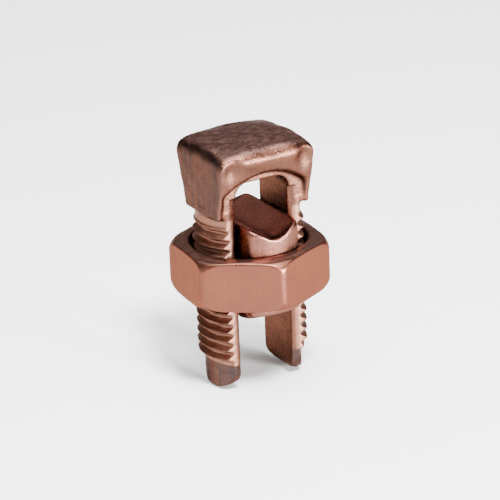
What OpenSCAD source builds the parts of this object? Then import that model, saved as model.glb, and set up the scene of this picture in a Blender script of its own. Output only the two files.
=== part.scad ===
// Split bolt connector: a forged slotted bolt, a hex nut and a swivelling pressure bar.
// The bolt axis is Z with the head up, and the conductors run along Y.

/* [Thread] */
// Major diameter of the thread on the two legs
thread_d = 15.9; // [15.4:0.1:17]
// Radial depth of the thread
thread_depth = 0.9; // [0.6:0.05:1.1]

/* [Legs] */
// Length of the legs from their tips to the shoulder under the head
leg_l = 26.2; // [25.8:0.1:32]
// Width of the legs along the conductors, across the two flats
leg_w = 8.9; // [8.2:0.1:9.3]
// Width of the slot between the legs
slot_w = 8.6; // [8:0.1:9]
// Setback of the bevel on each slot edge, along X
slot_bevel_x = 1.1; // [0.4:0.1:1.4]
// Setback of the bevel on each slot edge, along Y
slot_bevel_y = 0.6; // [0.3:0.1:1]
// Length of the plain tip below the thread
tip_l = 3.8; // [3:0.1:5]
// Height cut flat off each round leg end
tip_flat = 0.3; // [0.15:0.05:0.6]
// Bevel on the slot side of each leg end
tip_bevel = 1.2; // [0.6:0.1:1.4]

/* [Head] */
// Height of the head from the shoulder to the crown
head_h = 10.6; // [10:0.1:12]
// Width of the head across the legs, at its widest
head_w = 15.9; // [15.6:0.1:18]
// Width of the head across the legs, at the shoulder
head_base_w = 15.1; // [14.6:0.1:15.8]
// Depth of the cap along the conductors
cap_d = 14.8; // [13.4:0.1:16]
// Corner radius of the cap, seen from above
cap_corner_r = 2; // [1:0.1:2.6]
// Radius of the rounded edge round the top
top_edge_r = 1.7; // [1:0.1:2]
// Radius of the low dome on top
crown_r = 26; // [22:1:80]
// Depth of the cheeks along the conductors, at the shoulder
cheek_base_d = 9.2; // [9:0.1:10.4]
// Width of the rim that each cheek leaves beside the arch
cheek_rim = 1; // [0.6:0.1:1.3]

/* [Conductor saddle] */
// Height of the saddle roof above the shoulder
roof_h = 4.8; // [4:0.1:5.2]
// Corner radius where the roof meets the slot walls
roof_r = 2; // [1:0.1:2.4]
// Radius of the arch under each brow
arch_r = 9.6; // [8.6:0.1:14]
// Rise of the brow above the roof
brow_rise = 1.2; // [0.8:0.1:1.5]

/* [Nut] */
// Width of the nut across its flats
nut_af = 20.2; // [19.8:0.1:21.6]
// How far the nut's corners are turned back from sharp
nut_corner_cut = 0.2; // [0.1:0.05:0.4]
// Setback of the corner bevel inside the flats, at each face
nut_face_setback = 0.2; // [0.1:0.05:0.5]
// Height of the nut
nut_h = 7.8; // [6.5:0.1:9]
// Height of the nut above the leg tips, as set in the photo
nut_z = 13.3; // [6:0.1:14.5]
// Turn of the hexagon about the bolt axis, degrees
nut_turn = 24.3; // [0:0.1:60]
// Height of the bevel over the hexagon's corners
nut_bevel_h = 1.3; // [0.8:0.1:1.6]
// Depth of the countersink at each end of the bore
csk_h = 0.6; // [0.4:0.05:0.9]
// Gap between the nut's bore and the thread crests
bore_gap = 0.1; // [0.06:0.01:0.2]

/* [Pressure bar] */
// Height of the bar's side edges above the nut
bar_h = 4.1; // [3.2:0.1:4.4]
// Depth of the trough along the top of the bar
trough_d = 1.9; // [1.2:0.1:2.2]
// Flat left on each side of the trough
trough_rim = 0.15; // [0.1:0.05:0.3]
// Radius of the rounding on the bar's two ends
bar_end_r = 1.2; // [0.6:0.1:1.4]
// Setback of the bar's lobes from the rim of the nut's seats
lobe_setback = 0.35; // [0.25:0.05:0.5]
// Radius of the rounding on the flange and the boss
flange_edge_r = 0.6; // [0.4:0.05:0.7]
// Gap between the bar and each slot wall
slot_gap = 0.25; // [0.15:0.05:0.4]
// Gap between the bar's neck and the nut's bore
neck_gap = 0.35; // [0.25:0.05:0.5]
// Gap between the bar's shoulders and the nut's seats
seat_gap = 0.12; // [0.08:0.02:0.2]
// Thickness of the flange that holds the bar in the nut
flange_h = 1.5; // [0.9:0.1:1.8]
// Diameter of the staked boss under the flange
boss_d = 4.4; // [3:0.1:6.6]
// Height of the staked boss
boss_h = 2.6; // [1.2:0.1:3]

/* [Hidden] */
$fn = 96;
arc_steps = 8;
far = 60;

thread_r = thread_d / 2;
tip_r = thread_r - thread_depth - 0.1;
thread_run = thread_r - tip_r;
tip_end_r = leg_w / 2;
crown_z = leg_l + head_h;
edge_drop = crown_r - sqrt(pow(crown_r, 2) - pow(head_w / 2 - top_edge_r, 2));
edge_z = crown_z - edge_drop;
roof_z = leg_l + roof_h;
brow_z = roof_z + brow_rise;
cheek_top_z = edge_z - top_edge_r;
arch_w = head_base_w - 2 * cheek_rim;
bore_r = thread_r + bore_gap;
csk_r = bore_r + csk_h;
nut_corner_r = nut_af / 2 / cos(30) - nut_corner_cut;
nut_top_z = nut_z + nut_h;
bar_w = slot_w - 2 * slot_gap;
neck_r = bore_r - neck_gap;
lobe_r = csk_r - lobe_setback;
bar_top_z = nut_top_z + bar_h;
seat_drop = seat_gap * sqrt(2);

// Points on an arc about (x, y), from angle a to angle b
function arc(x, y, r, a, b) =
    [for (i = [0 : arc_steps]) let (t = a + (b - a) * i / arc_steps)
        [x + r * cos(t), y + r * sin(t)]];

// The other half of an outline that is even about its second axis
function mirrored(points) =
    [for (i = [len(points) - 1 : -1 : 0]) [-points[i][0], points[i][1]]];

// An outline in X and Z, carried along Y on both sides of the axis
module along_y(depth) {
    rotate([90, 0, 0]) linear_extrude(depth, center = true) children();
}

// An outline in Y and Z, carried along X on both sides of the axis
module along_x(width) {
    rotate([90, 0, 90]) linear_extrude(width, center = true) children();
}

// A rectangle with round corners, centred
module round_rect(w, d, r) {
    square([w - 2 * r, d], center = true);
    square([w, d - 2 * r], center = true);
    for (x = [-1, 1], y = [-1, 1])
        translate([x * (w / 2 - r), y * (d / 2 - r)]) circle(r);
}

// Half outline of the head seen along the conductors, tapering down to the shoulder
function head_front() =
    concat([[head_base_w / 2, leg_l]],
        arc(head_w / 2 - top_edge_r, edge_z - top_edge_r, top_edge_r, 0, 84),
        [[0, crown_z + 1]]);

// Half outline of the head seen across the legs, sweeping out from the cheeks to the cap
function head_side() =
    concat([for (i = [0 : arc_steps - 1]) let (t = i / arc_steps)
            [cheek_base_d / 2 + (cap_d - cheek_base_d) / 2 * (0.6 * t + 0.4 * t * t),
                leg_l + (cheek_top_z - leg_l) * t]],
        arc(cap_d / 2 - top_edge_r, edge_z - top_edge_r, top_edge_r, 0, 84),
        [[0, crown_z + 1]]);

module head() {
    intersection() {
        linear_extrude(far) round_rect(head_w, cap_d, cap_corner_r);
        along_y(far) polygon(concat(head_front(), mirrored(head_front())));
        along_x(far) polygon(concat(head_side(), mirrored(head_side())));
        translate([0, 0, crown_z - crown_r]) sphere(crown_r);
    }
}

// The threaded shank before it is slotted, with a plain tip below the thread
module shank() {
    intersection() {
        union() {
            cylinder(h = tip_l, r = tip_r);
            translate([0, 0, tip_l]) cylinder(h = thread_run, r1 = tip_r, r2 = thread_r);
            translate([0, 0, tip_l + thread_run])
                cylinder(h = leg_l - tip_l - thread_run + 1, r = thread_r);
        }
        along_x(far) leg_side();
    }
}

// Outline of a leg seen across the legs: two flats with a full round end, cut off flat
module leg_side() {
    intersection() {
        union() {
            translate([0, tip_end_r - tip_flat]) circle(tip_end_r);
            translate([-leg_w / 2, tip_end_r - tip_flat]) square([leg_w, leg_l + 1]);
        }
        translate([-leg_w, 0]) square([2 * leg_w, far]);
    }
}

// The slot, open at the leg tips, with a round-cornered roof that seats the conductor
module slot() {
    along_y(far) union() {
        translate([-slot_w / 2, -1]) square([slot_w, roof_z - roof_r + 1]);
        translate([-slot_w / 2 + roof_r, 0]) square([slot_w - 2 * roof_r, roof_z]);
        for (side = [-1, 1])
            translate([side * (slot_w / 2 - roof_r), roof_z - roof_r]) circle(roof_r);
    }
}

// The bevels on the four upright edges of the slot
module slot_bevels() {
    bevel = [[slot_w / 2 - 1, leg_w / 2 + 1],
        [slot_w / 2 - 1, leg_w / 2 - slot_bevel_y],
        [slot_w / 2, leg_w / 2 - slot_bevel_y],
        [slot_w / 2 + slot_bevel_x, leg_w / 2],
        [slot_w / 2 + slot_bevel_x, leg_w / 2 + 1]];
    for (x = [0, 1], y = [0, 1])
        mirror_xy(x, y) translate([0, 0, -1]) linear_extrude(roof_z - roof_r + 1)
            polygon(bevel);
}

// Mirrors a shape over in X, in Y or in both, where the flag is 1
module mirror_xy(x, y) {
    mirror([x, 0, 0]) mirror([0, y, 0]) children();
}

// Outline of the arch under a brow, with upright sides inside the cheek rims
module arch_outline() {
    intersection() {
        translate([0, brow_z - arch_r]) circle(arch_r);
        translate([-arch_w / 2, leg_l - 1]) square([arch_w, brow_z]);
    }
}

// The arch that opens under each brow, down to the leg flats
module brow_arches() {
    for (y = [0, 1]) mirror([0, y, 0])
        translate([0, far / 2 + leg_w / 2, 0]) along_y(far) arch_outline();
}

// The bevels on the slot side of the leg ends
module tip_bevels() {
    along_y(far) polygon([[-slot_w / 2 - tip_bevel - 1, -1], [-slot_w / 2 + 1, tip_bevel + 1],
        [slot_w / 2 - 1, tip_bevel + 1], [slot_w / 2 + tip_bevel + 1, -1]]);
}

module split_bolt() {
    color("#a8694f") difference() {
        union() {
            head();
            shank();
        }
        slot();
        slot_bevels();
        brow_arches();
        tip_bevels();
    }
}

// The turned body that bevels the nut's corners at both faces
module nut_blank() {
    face_r = nut_af / 2 - nut_face_setback;
    cylinder(h = nut_bevel_h, r1 = face_r, r2 = nut_corner_r);
    translate([0, 0, nut_bevel_h]) cylinder(h = nut_h - 2 * nut_bevel_h, r = nut_corner_r);
    translate([0, 0, nut_h - nut_bevel_h]) cylinder(h = nut_bevel_h, r1 = nut_corner_r, r2 = face_r);
}

module nut() {
    color("#c08974") translate([0, 0, nut_z]) difference() {
        intersection() {
            rotate([0, 0, nut_turn]) cylinder(h = nut_h, d = nut_af / cos(30), $fn = 6);
            nut_blank();
        }
        translate([0, 0, -1]) cylinder(h = nut_h + 2, r = bore_r);
        translate([0, 0, -0.01]) cylinder(h = csk_h, r1 = csk_r, r2 = bore_r);
        translate([0, 0, nut_h - csk_h + 0.01]) cylinder(h = csk_h, r1 = bore_r, r2 = csk_r);
    }
}

// Half outline of the bar about the bolt axis: lobes on the nut's upper seat, a neck
// through its bore, a flange under its lower seat and a staked boss
function bar_outline() =
    let (upper = nut_top_z - csk_r + seat_drop, lower = nut_z + csk_r - seat_drop,
        flange_z = nut_z - flange_h, boss_z = flange_z - boss_h, edge = flange_edge_r)
    concat([[0, boss_z]],
        arc(boss_d / 2 - edge, boss_z + edge, edge, -90, 0),
        [[boss_d / 2, flange_z]],
        arc(lobe_r - edge, flange_z + edge, edge, -90, 0),
        [[lobe_r, lower - lobe_r], [neck_r, lower - neck_r],
            [neck_r, upper + neck_r], [lobe_r, upper + lobe_r]],
        arc(lobe_r - bar_end_r, bar_top_z - bar_end_r, bar_end_r, 0, 90),
        [[0, bar_top_z]]);

// The trough that centres the conductor on top of the bar
module trough() {
    rim = bar_w / 2 - trough_rim;
    along_y(far) polygon([[-rim, bar_top_z + 0.01], [-rim / 3, bar_top_z - trough_d * 0.85],
        [0, bar_top_z - trough_d], [rim / 3, bar_top_z - trough_d * 0.85],
        [rim, bar_top_z + 0.01]]);
}

module pressure_bar() {
    color("#8a5a48") difference() {
        intersection() {
            rotate_extrude() polygon(bar_outline());
            translate([-bar_w / 2, -far / 2, 0]) cube([bar_w, far, far]);
        }
        trough();
    }
}

split_bolt();
nut();
pressure_bar();
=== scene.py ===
"""Looks of a copper split bolt connector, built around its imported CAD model.

Each CAD node is replaced by a fine mesh of the same form with what the solids leave out:
the cut thread, the soft forged edges, the corner pockets, the flared saddle mouth and
the surface marks.
Shapes are written as distance fields in millimetres (below zero is metal), then meshed.
"""
import math

import bpy
import numpy as np
from mathutils import Matrix, Vector


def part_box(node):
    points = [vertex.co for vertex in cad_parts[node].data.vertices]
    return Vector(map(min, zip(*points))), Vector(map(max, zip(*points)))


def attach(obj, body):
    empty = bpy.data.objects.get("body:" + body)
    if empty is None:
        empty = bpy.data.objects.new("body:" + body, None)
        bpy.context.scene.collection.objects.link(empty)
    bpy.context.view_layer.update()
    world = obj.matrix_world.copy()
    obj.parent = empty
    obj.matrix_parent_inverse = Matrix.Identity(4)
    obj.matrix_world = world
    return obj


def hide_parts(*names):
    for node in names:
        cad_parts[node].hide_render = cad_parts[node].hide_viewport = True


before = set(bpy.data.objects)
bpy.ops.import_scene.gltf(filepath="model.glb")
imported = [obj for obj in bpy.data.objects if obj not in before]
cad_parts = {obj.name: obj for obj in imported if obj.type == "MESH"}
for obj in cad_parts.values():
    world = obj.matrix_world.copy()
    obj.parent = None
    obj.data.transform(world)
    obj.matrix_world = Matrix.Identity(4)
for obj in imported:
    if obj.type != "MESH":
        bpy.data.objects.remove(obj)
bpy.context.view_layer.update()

MM = 0.001


def span(name):
    """Lowest and highest corner of a CAD node, in millimetres."""
    return [np.array(corner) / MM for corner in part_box(name)]


BOLT_LOW, BOLT_HIGH = span("split_bolt")
NUT_LOW, NUT_HIGH = span("nut")
BAR_LOW, BAR_HIGH = span("pressure_bar")

# Softness that rounds a square edge like an arc of radius 1
SOFT_PER_R = 1.17
# Scale of a field beside a sloping wall, which keeps it near the true distance
SLOPED, SLOPED_TRUNK = 0.7, 0.8

# Bolt, with heights above the leg tips. The sizes are those of the part's source, except that
# the crown is flatter, its edge is sharper, and the neck under the head is thinner. The thread,
# the pockets, the forged unevenness and the softness of edges are made only here
LEG_L = 26.2
LEG_W = 8.9
SLOT_W = 8.6
SLOT_BEVEL_X, SLOT_BEVEL_Y = 1.1, 0.6
TIP_L = 3.8
TIP_FLAT = 0.3
TIP_BEVEL = 1.2
THREAD_R = 7.95
THREAD_DEPTH = 0.9
THREAD_PITCH = 1.411
THREAD_TOP = 25.3
NECK_UNDER_HEAD_R = 7.45
THREAD_ROOT, THREAD_FLANK, THREAD_BOW = 0.14, 0.84, 1.15
TIP_UNDERCUT = 0.1
TIP_R = THREAD_R - THREAD_DEPTH - TIP_UNDERCUT
CROWN_Z = BOLT_HIGH[2]
CROWN_R = 45.0
HEAD_W = 15.9
HEAD_BASE_W = 15.1
CAP_D = BOLT_HIGH[1] - BOLT_LOW[1]
CAP_CORNER_R = 2.0
TOP_EDGE_R = 1.5
CHEEK_BASE_D = 9.2
CHEEK_RIM = 1.0
ROOF_RISE = 4.8
ROOF_Z = LEG_L + ROOF_RISE
ROOF_R = 2.0
BROW_RISE = 1.2
BROW_Z = ROOF_Z + BROW_RISE
ARCH_R = 9.6
ARCH_W = HEAD_BASE_W - 2 * CHEEK_RIM
ARCH_FLARE = 0.16
EDGE_DROP = 0.45
CHEEK_TOP_Z = CROWN_Z - TOP_EDGE_R - EDGE_DROP
POCKET_X, POCKET_Y, POCKET_DROP = 6.0, 7.25, 1.5
POCKET_HALF = (1.5, 1.3, 1.9)
FORGED_MEAN, FORGED_BROAD, FORGED_FINE = 0.09, 0.06, 0.03
HEAD_SOFT, ARCH_SOFT, BROW_SOFT, POCKET_SOFT = 0.4, 0.5, 0.7, 0.8
SHANK_SOFT, SLOT_SOFT, SLOT_BEVEL_SOFT = 0.3, 0.3, 0.15
TIP_SOFT, RUN_OUT_SOFT, LEG_SIDE_SOFT = 0.4, 0.25, 0.14

# Nut
NUT_Z, NUT_TOP = NUT_LOW[2], NUT_HIGH[2]
NUT_AF = 20.2
NUT_TURN = 24.3
NUT_CORNER_CUT, NUT_FACE_SETBACK = 0.2, 0.2
NUT_CORNER_R = NUT_AF / 2 / math.cos(math.radians(30)) - NUT_CORNER_CUT
NUT_FACE_R = NUT_AF / 2 - NUT_FACE_SETBACK
NUT_BEVEL_H = 1.3
NUT_THREAD_DEPTH = 0.55
NUT_BEVEL_EASE = 1.6
NUT_SIDE_SOFT, NUT_BEVEL_SOFT, NUT_FACE_SOFT = 0.16, 0.25, 0.5
BORE_CLEARANCE = 0.1
BORE_R = THREAD_R + BORE_CLEARANCE
CSK_H = 0.6
CSK_R = BORE_R + CSK_H
BORE_SOFT, CSK_SOFT = 0.12, 0.15

# Pressure bar
BAR_TOP = BAR_HIGH[2]
BAR_HALF_W = BAR_HIGH[0]
LOBE_R = BAR_HIGH[1]
NECK_CLEARANCE = 0.35
NECK_R = BORE_R - NECK_CLEARANCE
SEAT_DROP = 0.17
BAR_END_R = 1.2
TROUGH_D = 1.9
TROUGH_RIM = 0.15
FLANGE_DROP = 1.5
FLANGE_Z = NUT_Z - FLANGE_DROP
BOSS_Z = BAR_LOW[2]
BOSS_R = 2.2
BOSS_ROOT = 1
FLANGE_EDGE_R = 0.6
BAR_SIDE_SOFT, TROUGH_SOFT, BOSS_SOFT, BOSS_ROOT_SOFT = 0.5, 0.35, 0.3, 0.1

BOLT_STEP = 0.155
NUT_STEP = 0.15
BAR_STEP = 0.12


# ---- distance fields -------------------------------------------------------

def meet(a, b, soft):
    """Metal that is in both a and b, with the edge between them rounded."""
    h = np.clip(0.5 + 0.5 * (a - b) / soft, 0, 1)
    return b + (a - b) * h + soft * h * (1 - h)


def join(a, b, soft):
    """Metal that is in a or b, with the corner between them filled."""
    return -meet(-a, -b, soft)


def cut(a, b, soft):
    """Metal a without b, with a rounded edge."""
    return meet(a, -b, soft)


def round_box(u, v, half_u, half_v, r):
    """A rectangle with round corners about the origin of two axes."""
    du, dv = np.abs(u) - half_u + r, np.abs(v) - half_v + r
    return np.hypot(np.maximum(du, 0), np.maximum(dv, 0)) + np.minimum(np.maximum(du, dv), 0) - r


def wave(t):
    """A smooth step from 0 to 1 as t goes from 0 to 1."""
    t = np.clip(t, 0, 1)
    return t * t * (3 - 2 * t)


def thread_profile(x, y, z):
    """Height of a right-hand thread over its root: 0 in the groove, 1 on the crest."""
    turn = z / THREAD_PITCH - np.arctan2(y, x) / (2 * math.pi)
    ridge = np.abs(2 * (turn - np.floor(turn)) - 1)
    return np.clip((ridge - THREAD_ROOT) / THREAD_FLANK, 0, 1) ** THREAD_BOW


def corner_pockets(x, y, z):
    """The dents that the forging die leaves in the brow, beside each front corner."""
    dx, dy, dz = np.abs(x) - POCKET_X, np.abs(y) - POCKET_Y, z - CHEEK_TOP_Z + POCKET_DROP
    half_x, half_y, half_z = POCKET_HALF
    return np.sqrt((dx / half_x) ** 2 + (dy / half_y) ** 2 + (dz / half_z) ** 2) - 1


def forged(x, y, z):
    """Slow unevenness that a forging die and a trim leave on a face."""
    broad = np.sin(0.9 * x + 1.3) * np.cos(0.7 * y - 0.4 + 0.3 * z)
    fine = np.sin(1.9 * z + 0.8 * x) * np.cos(1.6 * y + 0.5)
    return FORGED_MEAN + FORGED_BROAD * broad + FORGED_FINE * fine


def head(x, y, z):
    """The forged head: a domed cap that sweeps down into two cheeks."""
    rise = np.clip((z - LEG_L) / (CHEEK_TOP_Z - LEG_L), 0, 1)
    half_w = HEAD_BASE_W / 2 + (HEAD_W - HEAD_BASE_W) / 2 * rise
    half_d = CHEEK_BASE_D / 2 + (CAP_D - CHEEK_BASE_D) / 2 * (0.6 * rise + 0.4 * rise * rise)
    sides = meet(np.abs(x) - half_w, np.abs(y) - half_d, 0.3 + 0.9 * rise)
    plan = round_box(x, y, HEAD_W / 2, CAP_D / 2, CAP_CORNER_R)
    dome = np.sqrt(x * x + y * y + (z - CROWN_Z + CROWN_R) ** 2) - CROWN_R
    body = meet(meet(sides, plan, HEAD_SOFT), dome, SOFT_PER_R * TOP_EDGE_R)
    body = cut(body + forged(x, y, z), corner_pockets(x, y, z), POCKET_SOFT)
    return meet(body, LEG_L - z, HEAD_SOFT)


def brow_arch(x, y, z):
    """The void under a brow, which flares towards the face of the head."""
    flare = ARCH_FLARE * np.maximum(np.abs(y) - LEG_W / 2, 0)
    across = np.hypot(x, z - BROW_Z + ARCH_R) - ARCH_R - flare
    arch = meet(across, np.abs(x) - ARCH_W / 2 - flare / 2, ARCH_SOFT)
    return meet(arch, LEG_W / 2 - np.abs(y), ARCH_SOFT)


def shank(x, y, z):
    """The two threaded legs as one round shank with flats, before it is slotted."""
    rho = np.hypot(x, y)
    fade = wave((THREAD_TOP - z) / THREAD_PITCH)
    ragged = 1 + 0.06 * np.sin(2.3 * z + 1.7 * y) + 0.03 * np.sin(2.9 * y - 3.7 * z + x)
    groove = THREAD_DEPTH * fade * ragged * (1 - thread_profile(x, y, z))
    neck = (THREAD_R - NECK_UNDER_HEAD_R) * (1 - fade)
    thread = SLOPED * (rho - THREAD_R + groove + neck)
    run_out = (rho - TIP_R - np.maximum(z - TIP_L, 0)) * SLOPED
    center_z = LEG_W / 2 - TIP_FLAT
    side = np.where(z > center_z, np.abs(y), np.hypot(y, z - center_z)) - LEG_W / 2
    legs = meet(meet(thread, run_out, RUN_OUT_SOFT), meet(side, -z, TIP_SOFT), LEG_SIDE_SOFT)
    into_head = 1
    return np.maximum(legs, z - LEG_L - into_head)


def slot(x, z):
    """The slot, open at the leg tips, with a round-cornered roof."""
    deep = 40
    return round_box(x, z - ROOF_Z + deep, SLOT_W / 2, deep, ROOF_R)


def slot_bevel(x, y, z):
    """What the bevels take off the upright edges of the slot, with a little past each edge."""
    length = math.hypot(SLOT_BEVEL_X, SLOT_BEVEL_Y)
    over = (SLOT_BEVEL_X * (np.abs(y) - LEG_W / 2 + SLOT_BEVEL_Y)
            - SLOT_BEVEL_Y * (np.abs(x) - SLOT_W / 2)) / length
    past = 0.1
    reach = np.abs(x) - SLOT_W / 2 - SLOT_BEVEL_X - past
    return np.maximum(np.maximum(-over, reach), z - ROOF_Z + ROOF_R)


def bolt_field(x, y, z):
    """The head and the shank in one, slotted, with bevels inside the leg tips."""
    solid = cut(head(x, y, z), brow_arch(x, y, z), BROW_SOFT)
    solid = join(solid, shank(x, y, z), SHANK_SOFT)
    solid = cut(solid, slot(x, z), SLOT_SOFT)
    solid = cut(solid, slot_bevel(x, y, z), SLOT_BEVEL_SOFT)
    tips = (SLOT_W / 2 + TIP_BEVEL - np.abs(x) - z) / math.sqrt(2)
    return meet(solid, tips, TIP_SOFT)


def nut_field(x, y, z):
    """The hexagon with eased corners, which leave a rounded panel on each side, and its bore."""
    rho = np.hypot(x, y)
    flats = None
    for i in range(3):
        a = math.radians(NUT_TURN + 30 + 60 * i)
        flat = np.abs(x * math.cos(a) + y * math.sin(a)) - NUT_AF / 2
        flats = flat if flats is None else meet(flats, flat, NUT_SIDE_SOFT)
    face_gap = np.minimum(z - NUT_Z, NUT_TOP - z)
    slope = (NUT_CORNER_R - NUT_FACE_R) / NUT_BEVEL_H
    corner = NUT_CORNER_R - NUT_AF / 2
    past_flat = np.clip((rho - NUT_AF / 2) / corner, 0, 2)
    pressed = np.minimum(rho, NUT_AF / 2) + corner * past_flat ** 2
    bevel = (pressed - NUT_FACE_R - slope * face_gap) / math.hypot(1, slope) / NUT_BEVEL_EASE
    round_off = meet(rho - NUT_CORNER_R, bevel, NUT_BEVEL_SOFT)
    body = meet(meet(flats, round_off, NUT_SIDE_SOFT), -face_gap, NUT_FACE_SOFT)
    groove = NUT_THREAD_DEPTH * (1 - thread_profile(x, y, z)) * wave(face_gap / 1.2)
    bore = SLOPED * (rho - BORE_R - groove)
    sink = (rho - CSK_R + face_gap) / math.sqrt(2)
    return cut(cut(body, bore, BORE_SOFT), sink, CSK_SOFT)


def bar_field(x, y, z):
    """The bar that presses the conductors, carried in the nut by a neck and a flange."""
    rho = np.hypot(x, y)
    middle = (NUT_Z + NUT_TOP) / 2
    half_neck = (NUT_TOP - NUT_Z) / 2 - CSK_R + NECK_R + SEAT_DROP
    outer = np.minimum(NECK_R + np.maximum(np.abs(z - middle) - half_neck, 0), LOBE_R)
    trunk = (rho - outer) * SLOPED_TRUNK
    trunk = meet(trunk, z - BAR_TOP, SOFT_PER_R * BAR_END_R)
    trunk = meet(trunk, FLANGE_Z - z, SOFT_PER_R * FLANGE_EDGE_R)
    boss = meet(rho - BOSS_R, BOSS_Z - z, SOFT_PER_R * FLANGE_EDGE_R)
    boss = meet(boss, z - FLANGE_Z - BOSS_ROOT, BOSS_ROOT_SOFT)
    trunk = join(trunk, boss, BOSS_SOFT)
    trunk = meet(trunk, np.abs(x) - BAR_HALF_W, BAR_SIDE_SOFT)
    rim = BAR_HALF_W - TROUGH_RIM
    dip = np.where(np.abs(x) < rim / 3, TROUGH_D * (1 - 0.15 * (3 * x / rim) ** 2),
                   0.85 * TROUGH_D * (rim - np.abs(x)) / (rim * 2 / 3))
    return meet(trunk, (z - BAR_TOP + dip) * SLOPED_TRUNK, TROUGH_SOFT)


# ---- from field to mesh ----------------------------------------------------

CORNERS = [(i, j, k) for i in (0, 1) for j in (0, 1) for k in (0, 1)]
EDGES = [(a, b) for a in CORNERS for b in CORNERS if a < b and sum(np.abs(np.subtract(a, b))) == 1]


def cell_points(values, cells):
    """The mean of the surface's crossings of each cell's edges, in grid steps."""
    total, count = np.zeros(cells.shape), np.zeros(len(cells))
    for a, b in EDGES:
        fa = values[tuple((cells + a).T)]
        fb = values[tuple((cells + b).T)]
        hit = (fa < 0) != (fb < 0)
        t = np.where(hit, fa / np.where(hit, fa - fb, 1), 0)
        total += hit[:, None] * (np.array(a) + t[:, None] * np.subtract(b, a))
        count += hit
    return cells + total / count[:, None]


def cell_quads(inside, index):
    """One quad for each grid edge that the surface crosses, facing out of the metal."""
    quads = []
    for axis in range(3):
        u, v = (axis + 1) % 3, (axis + 2) % 3
        low = [slice(None)] * 3
        high = [slice(None)] * 3
        low[axis], high[axis] = slice(None, -1), slice(1, None)
        first, second = inside[tuple(low)], inside[tuple(high)]
        for leaving in (True, False):
            at = np.argwhere((first & ~second) if leaving else (~first & second))
            ring = []
            for du, dv in ((-1, -1), (0, -1), (0, 0), (-1, 0)):
                cell = at.copy()
                cell[:, u] += du
                cell[:, v] += dv
                ring.append(index[tuple(cell.T)])
            quads.append(np.stack(ring if leaving else ring[::-1], 1))
    return np.concatenate(quads)


def settle(field, points, step):
    """Moves each point straight onto the surface of the field."""
    tiny = step * 0.1
    for _ in range(3):
        value = field(*points.T)
        slope = np.empty(points.shape)
        for axis in range(3):
            shift = np.zeros(3)
            shift[axis] = tiny
            slope[:, axis] = (field(*(points + shift).T) - field(*(points - shift).T)) / (2 * tiny)
        move = -value[:, None] * slope / np.maximum((slope ** 2).sum(1), 0.05)[:, None]
        points = points + np.clip(move, -0.4 * step, 0.4 * step)
    return points


def mesh_of(name, field, low, high, step):
    """Meshes a field inside a box, all in millimetres, as an object in metres."""
    margin = 3 * step
    axes = [np.arange(low[i] - margin, high[i] + margin, step) for i in range(3)]
    values = np.asarray(field(*np.meshgrid(*axes, indexing="ij", sparse=True)))
    inside = values < 0
    count = sum(inside[i:i - 1 or None, j:j - 1 or None, k:k - 1 or None].astype(np.int8)
                for i, j, k in CORNERS)
    mixed = (count > 0) & (count < 8)
    index = np.full(mixed.shape, -1)
    cells = np.argwhere(mixed)
    index[tuple(cells.T)] = np.arange(len(cells))
    points = cell_points(values, cells) * step + [axis[0] for axis in axes]
    points = np.clip(settle(field, points, step), low, high)
    mesh = bpy.data.meshes.new(name)
    mesh.from_pydata((points * MM).tolist(), [], cell_quads(inside, index).tolist())
    mesh.update()
    mesh.polygons.foreach_set("use_smooth", [True] * len(mesh.polygons))
    obj = bpy.data.objects.new(name, mesh)
    bpy.context.scene.collection.objects.link(obj)
    return obj, points


def paint(obj, name, amount):
    """Keeps one number for each point of a mesh, for its material to read."""
    layer = obj.data.attributes.new(name, "FLOAT", "POINT")
    layer.data.foreach_set("value", np.clip(amount, 0, 1).astype(np.float32))


def normals_of(obj):
    """The normal at each point of a mesh, one row a point."""
    flat = np.zeros(len(obj.data.vertices) * 3, np.float32)
    obj.data.vertices.foreach_get("normal", flat)
    return flat.reshape(-1, 3)


# ---- the three pieces ------------------------------------------------------

# Painted amounts, from 0 to 1, in the order the pieces paint them: a dull skin with painted shade on
# the cheeks' side faces, also on the leg tips; groove, painted shading by the depth of the thread and
# in the nut's bore;
# painted light on the faces that look up; and painted shade on the walls of openings and dents and
# under the head

def make_bolt():
    obj, points = mesh_of("forged_split_bolt", bolt_field, BOLT_LOW, BOLT_HIGH, BOLT_STEP)
    x, y, z = points.T
    rho, up = np.hypot(x, y), normals_of(obj)[:, 2]
    # A dull skin on the leg tips, and on the cheeks a dull skin with painted shade, chosen by which
    # way the faces look
    sideways = wave((np.abs(normals_of(obj)[:, 0]) - 0.45) / 0.3)
    dull_skin_and_shade = sideways * wave((z - LEG_L + 0.3) / 0.6) * wave((rho - SLOT_W / 2 - 1.6) / 0.5)
    paint(obj, "dull_skin_and_shade", np.maximum(dull_skin_and_shade, wave((TIP_L + 0.6 - z) / 0.8) * wave((rho - 5.2) / 0.6)))
    # Painted shading by the depth of the thread, in a colour lighter than the clean copper
    threaded = wave((LEG_L - z) / 0.5) * wave((z - TIP_L) / 0.4) * wave((rho - 6.2) / 0.5)
    paint(obj, "groove", threaded * (0.3 + 0.8 * (THREAD_R - 0.1 - rho) / THREAD_DEPTH))
    # Painted light on the faces of the head that look up
    paint(obj, "crown", wave((z - CHEEK_TOP_Z) / 1.5) * wave((up - 0.72) / 0.26))
    # Painted shade in the slot, darker towards its roof, under the head and in the corner pockets
    in_slot = wave((SLOT_W / 2 + 0.45 - np.abs(x)) / 0.3) * wave((ROOF_Z + 0.3 - z) / 0.5)
    painted_shade = in_slot * (0.12 + 0.88 * wave((z - NUT_TOP) / 6))
    underside_shade = wave((-up - 0.1) / 0.6) * wave((z - LEG_L + 1) / 2)
    pocket_shade = 0.75 * wave((0.9 - corner_pockets(x, y, z)) / 1.1) * wave((np.abs(y) - 5.2) / 0.6)
    paint(obj, "painted_shade", np.maximum(np.maximum(painted_shade, underside_shade), pocket_shade))
    return obj


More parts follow.
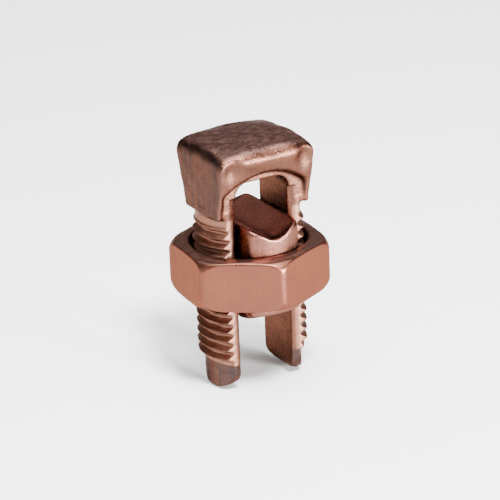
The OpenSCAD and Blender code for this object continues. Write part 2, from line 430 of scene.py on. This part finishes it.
def make_nut():
    obj, points = mesh_of("hex_nut", nut_field, NUT_LOW, NUT_HIGH, NUT_STEP)
    rho, up = np.hypot(*points[:, :2].T), normals_of(obj)[:, 2]
    paint(obj, "dull_skin_and_shade", np.zeros(len(rho)))
    # Painted shade in the bore and the countersink, and painted light on the faces that look up
    paint(obj, "groove", wave((CSK_R + 0.2 - rho) / 0.8))
    paint(obj, "crown", wave((up - 0.7) / 0.3))
    paint(obj, "painted_shade", wave((CSK_R + 0.1 - rho) / 0.5))
    return obj


def make_bar():
    obj, points = mesh_of("swivel_pressure_bar", bar_field, BAR_LOW, BAR_HIGH, BAR_STEP)
    x, y, z = points.T
    up = normals_of(obj)[:, 2]
    # Painted light on the upward faces of the lobes, a dull skin on the lobe ends, and painted shade
    # on the bar's sides
    seat = wave((up - 0.3) / 0.4) * wave((LOBE_R - 0.9 - np.abs(y)) / 1.2)
    paint(obj, "dull_skin_and_shade", wave((np.abs(y) - LOBE_R + 1.2) / 1.2) * 0.3)
    paint(obj, "groove", np.zeros(len(x)))
    paint(obj, "crown", seat * wave((z - NUT_TOP) / 1.5))
    paint(obj, "painted_shade", wave((np.abs(x) - BAR_HALF_W + 0.25) / 0.2))
    return obj


# ---- materials -------------------------------------------------------------

# What the copper reflects at a grazing angle, against white
EDGE_TINT = (0.58, 0.49, 0.46, 1)


def feed(tree, socket, value):
    """Links a socket to another node's output, or sets it to a plain value."""
    if isinstance(value, bpy.types.NodeSocket):
        tree.links.new(value, socket)
    else:
        socket.default_value = value


def add(tree, kind, settings=(), **sockets):
    """A node with its settings and the values of its input sockets."""
    made = tree.nodes.new(kind)
    for name, value in dict(settings).items():
        setattr(made, name, value)
    for name, value in sockets.items():
        feed(tree, made.inputs[name.replace("_", " ")], value)
    return made


def noise(tree, place, scale, detail=4.0, stretch=(1, 1, 1)):
    """Noise whose scale is in features a metre, drawn out along an axis where stretch is small."""
    moved = add(tree, "ShaderNodeMapping", Vector=place, Scale=stretch)
    made = add(tree, "ShaderNodeTexNoise", Vector=moved.outputs["Vector"], Scale=scale,
               Detail=detail, Roughness=0.6)
    return made.outputs["Fac"]


def ranged(tree, value, low, high, out_low, out_high):
    """A value between low and high, carried over to another range."""
    made = add(tree, "ShaderNodeMapRange", Value=value, From_Min=low, From_Max=high,
               To_Min=out_low, To_Max=out_high)
    return made.outputs["Result"]


def blend_colour(tree, share, first, second):
    """The first colour, turning into the second as the share goes from 0 to 1."""
    made = tree.nodes.new("ShaderNodeMix")
    made.data_type = "RGBA"
    tree.links.new(share, made.inputs[0])
    for socket, value in ((made.inputs[6], first), (made.inputs[7], second)):
        linked = isinstance(value, bpy.types.NodeSocket)
        feed(tree, socket, value if linked else (*value, 1))
    return made.outputs[2]


def maths(tree, operation, a, b):
    """What an operation, such as ADD or MULTIPLY, makes of two values."""
    made = tree.nodes.new("ShaderNodeMath")
    made.operation = operation
    feed(tree, made.inputs[0], a)
    feed(tree, made.inputs[1], b)
    return made.outputs[0]


def attribute(tree, name):
    """An amount that paint() keeps on the mesh."""
    return add(tree, "ShaderNodeAttribute", {"attribute_name": name}).outputs["Fac"]


def stained(tree, blotch, drawn, band, clean, stain, lines):
    """Clean copper with stains in blotches, in drawn streaks and in bands."""
    colour = blend_colour(tree, ranged(tree, blotch, 0.38, 0.64, 0, 1), clean, stain)
    colour = blend_colour(tree, ranged(tree, drawn, 0.42, 0.68, 0, 0.45), colour, stain)
    return blend_colour(tree, ranged(tree, band, 0.45, 0.62, 0, lines * 0.5), colour, stain)


def painted(tree, name, pattern, colour, over):
    """A colour laid over another where the mesh is painted, broken up by a pattern."""
    share = maths(tree, "MULTIPLY", attribute(tree, name), pattern)
    return blend_colour(tree, share, colour, over)


def raised(tree, drawn, fine, scratch, cloud, lines, grain):
    """The height of the drawn lines, grain, scratches and slow waves together."""
    height = maths(tree, "MULTIPLY", drawn, lines)
    height = maths(tree, "ADD", height, maths(tree, "MULTIPLY", fine, grain))
    height = maths(tree, "ADD", height, maths(tree, "MULTIPLY", scratch, lines * 0.4))
    return maths(tree, "ADD", height, maths(tree, "MULTIPLY", cloud, 0.3))


def copper(name, clean, stain, dull_skin_and_shade, groove, crown, painted_shade, gloss, lines, grain):
    """Bare copper, with a colour of its own for each painted amount."""
    material = bpy.data.materials.new(name)
    material.use_nodes = True
    tree = material.node_tree
    shader = tree.nodes["Principled BSDF"]
    place = tree.nodes.new("ShaderNodeTexCoord").outputs["Object"]
    blotch = noise(tree, place, 260, 5.0)
    band = noise(tree, place, 1300, 2.0, (1, 1, 0.05))
    cloud = noise(tree, place, 900, 3.0)
    drawn = noise(tree, place, 4200, 3.0, (1, 1, 0.03))
    fine = noise(tree, place, 9000, 2.0)
    scratch = noise(tree, place, 2600, 2.0, (1, 0.05, 1))

    colour = stained(tree, blotch, drawn, band, clean, stain, lines)
    # Lays on a dull skin with painted shade, painted light on faces that look up, painted shading on
    # the thread and painted shade in hollows
    colour = painted(tree, "dull_skin_and_shade", ranged(tree, band, 0.38, 0.62, 1, 0.45), colour, dull_skin_and_shade)
    colour = painted(tree, "crown", ranged(tree, blotch, 0.3, 0.5, 0.8, 1), colour, crown)
    colour = painted(tree, "groove", ranged(tree, cloud, 0.35, 0.6, 0.7, 1), colour, groove)
    colour = blend_colour(tree, attribute(tree, "painted_shade"), colour, painted_shade)
    feed(tree, shader.inputs["Base Color"], colour)

    rough = ranged(tree, cloud, 0.3, 0.7, *gloss)
    worn = maths(tree, "MULTIPLY", attribute(tree, "groove"), 0.18)
    feed(tree, shader.inputs["Roughness"], maths(tree, "ADD", rough, worn))
    feed(tree, shader.inputs["Metallic"], 1.0)
    feed(tree, shader.inputs["Specular Tint"], EDGE_TINT)

    height = raised(tree, drawn, fine, scratch, cloud, lines, grain)
    bump = add(tree, "ShaderNodeBump", Strength=0.55, Distance=0.00009, Height=height)
    feed(tree, shader.inputs["Normal"], bump.outputs["Normal"])
    return material


# The colours after clean and stain are, in turn, a dull skin with painted shade, painted shading on
# the thread, painted light on faces that look up and painted shade in hollows
def forged_copper():
    return copper("forged_copper", (0.150, 0.060, 0.038), (0.082, 0.036, 0.026),
                  dull_skin_and_shade=(0.043, 0.029, 0.027), groove=(0.26, 0.125, 0.085),
                  crown=(0.31, 0.17, 0.145), painted_shade=(0.085, 0.038, 0.026),
                  gloss=(0.18, 0.40), lines=0.9, grain=0.8)


def turned_copper():
    return copper("turned_copper", (0.150, 0.052, 0.032), (0.130, 0.047, 0.031),
                  dull_skin_and_shade=(0.15, 0.07, 0.05), groove=(0.05, 0.015, 0.008),
                  crown=(0.26, 0.135, 0.11), painted_shade=(0.02, 0.006, 0.003),
                  gloss=(0.26, 0.36), lines=0.25, grain=0.5)


def pressed_copper():
    return copper("pressed_copper", (0.150, 0.060, 0.042), (0.110, 0.046, 0.033),
                  dull_skin_and_shade=(0.140, 0.066, 0.050), groove=(0.07, 0.02, 0.01),
                  crown=(0.44, 0.16, 0.12), painted_shade=(0.10, 0.034, 0.021),
                  gloss=(0.18, 0.34), lines=0.4, grain=0.6)


def plain_white(name, colour, roughness):
    """A matt paper with a barely seen unevenness."""
    material = bpy.data.materials.new(name)
    material.use_nodes = True
    tree = material.node_tree
    shader = tree.nodes["Principled BSDF"]
    place = tree.nodes.new("ShaderNodeTexCoord").outputs["Object"]
    faint = ranged(tree, noise(tree, place, 12, 2.0), 0.3, 0.7, 0, 1)
    darker = [c * 0.99 for c in colour]
    feed(tree, shader.inputs["Base Color"], blend_colour(tree, faint, colour, darker))
    feed(tree, shader.inputs["Roughness"], roughness)
    return material


# ---- dressing --------------------------------------------------------------

def dress():
    """Puts each piece on its body, in place of its CAD node."""
    bolt_metal, nut_metal, bar_metal = forged_copper(), turned_copper(), pressed_copper()
    for obj, node, body, slot_name, metal in (
            (make_bolt(), "split_bolt", "bolt", "bolt_copper", bolt_metal),
            (make_nut(), "nut", "nut", "nut_copper", nut_metal),
            (make_bar(), "pressure_bar", "bar", "bar_copper", bar_metal)):
        obj.data.materials.append(metal)
        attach(obj, body)
        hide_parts(node)


# ---- the studio ------------------------------------------------------------

FLOOR_SIZE, FLOOR_DROP = 4.0, 0.0002
WORLD_LIGHT = 0.34


def make_floor():
    bpy.ops.mesh.primitive_plane_add(size=FLOOR_SIZE, location=(0, 0, -FLOOR_DROP))
    floor = bpy.context.object
    floor.name = "pale_floor"
    floor.data.materials.append(plain_white("pale_paper", (0.92, 0.92, 0.92), 0.9))


def softbox(name, place, aim, size, watts):
    """A square lamp that faces a point."""
    lamp = bpy.data.lights.new(name, "AREA")
    lamp.shape, lamp.size = "SQUARE", size
    lamp.energy = watts
    obj = bpy.data.objects.new(name, lamp)
    bpy.context.scene.collection.objects.link(obj)
    obj.location = place
    obj.rotation_mode = "QUATERNION"
    obj.rotation_quaternion = (Vector(aim) - Vector(place)).to_track_quat("-Z", "Y")


def light_studio():
    world = bpy.data.worlds.new("studio")
    bpy.context.scene.world = world
    world.use_nodes = True
    sky = world.node_tree.nodes["Background"]
    feed(world.node_tree, sky.inputs["Color"], (1, 1, 1, 1))
    feed(world.node_tree, sky.inputs["Strength"], WORLD_LIGHT)
    middle = (0, 0, 0.018)
    softbox("overhead", (-0.05, -0.12, 0.75), middle, 0.7, 13.0)
    softbox("front_high", (-0.04, -0.3, 0.5), middle, 0.12, 11.0)
    softbox("front_right", (0.127, -0.38, 0.05), middle, 0.1, 9.5)
    softbox("left", (-0.6, 0.05, 0.25), middle, 0.35, 0.8)


# The photograph's view: angles in degrees, distances in metres, lens and sensor in millimetres
VIEW_TURN, VIEW_TILT, VIEW_ROLL = -29.9, 21.17, -2.34
VIEW_DISTANCE = 0.4
VIEW_RIGHT, VIEW_UP = 0.000226, -0.001898
VIEW_LENS, VIEW_SENSOR = 202.8, 36


def place_camera():
    """Looks at the middle of the nut's upper face, from the side that the photograph shows."""
    turn, tilt, roll = (math.radians(a) for a in (VIEW_TURN, VIEW_TILT, VIEW_ROLL))
    back = Vector((math.sin(turn) * math.cos(tilt), -math.cos(turn) * math.cos(tilt), math.sin(tilt)))
    level = Vector((math.cos(turn), math.sin(turn), 0))
    upright = back.cross(level)
    right = math.cos(roll) * level + math.sin(roll) * upright
    up = math.cos(roll) * upright - math.sin(roll) * level
    data = bpy.data.cameras.new("camera")
    data.lens, data.sensor_width = VIEW_LENS, VIEW_SENSOR
    data.clip_start, data.clip_end = 0.01, 20
    camera = bpy.data.objects.new("camera", data)
    bpy.context.scene.collection.objects.link(camera)
    camera.rotation_mode = "QUATERNION"
    camera.rotation_quaternion = Matrix((right, up, back)).transposed().to_quaternion()
    aim = Vector((0, 0, NUT_TOP * MM))
    camera.location = aim + right * VIEW_RIGHT + up * VIEW_UP + back * VIEW_DISTANCE
    bpy.context.scene.camera = camera


place_camera()
light_studio()
make_floor()
dress()
